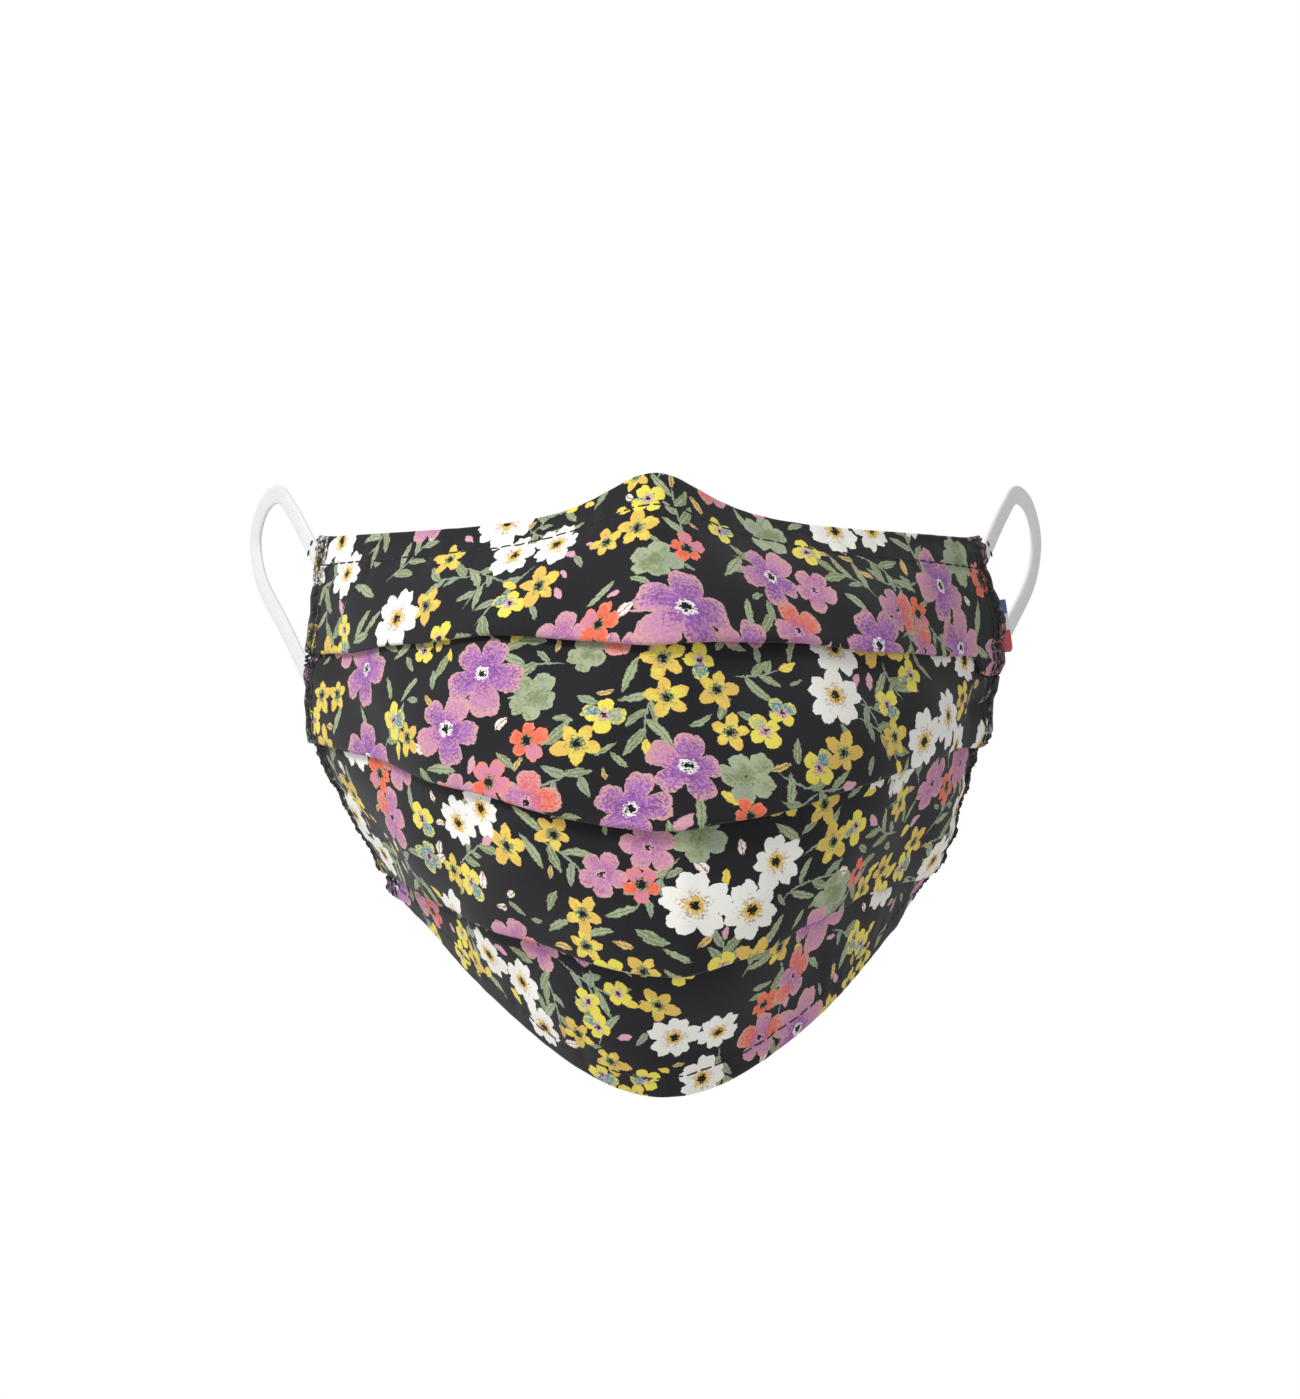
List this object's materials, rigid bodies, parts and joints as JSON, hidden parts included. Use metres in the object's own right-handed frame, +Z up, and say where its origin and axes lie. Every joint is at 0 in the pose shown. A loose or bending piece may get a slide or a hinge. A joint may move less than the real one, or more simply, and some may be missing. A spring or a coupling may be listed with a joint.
{
  "type": "pleated cloth face mask",
  "caption": "Cloth face mask in its worn form, with downward pleats, stitched hems, bound side edges, elastic ear loops and a folded ribbon tab.",
  "frame": {"origin": "where the mask sits on the bridge of the nose: the inner face of the cloth at the middle of its top edge", "axes": "+Z up the wearer's face, -Y out of the front of the mask, +X to the right of someone who looks at the front"},
  "size_m": [0.1708, 0.1277, 0.126],
  "materials": {
    "printed_cotton": "matt woven cotton, near-black with a small floral print in violet, yellow, ivory, coral and sage",
    "edge_thread": "matt black overlock thread over the cut edges of the cloth",
    "elastic": "matt pale grey-white knitted flat elastic",
    "ribbon": "woven ribbon in blue, white and red bands, slight satin"
  },
  "bodies": {
    "root": {"mask_cloth": "printed_cotton", "side_edge_left": "edge_thread", "side_edge_right": "edge_thread", "ear_loop_left": "elastic", "ear_loop_right": "elastic", "side_tab": "ribbon"}
  },
  "joints": []
}
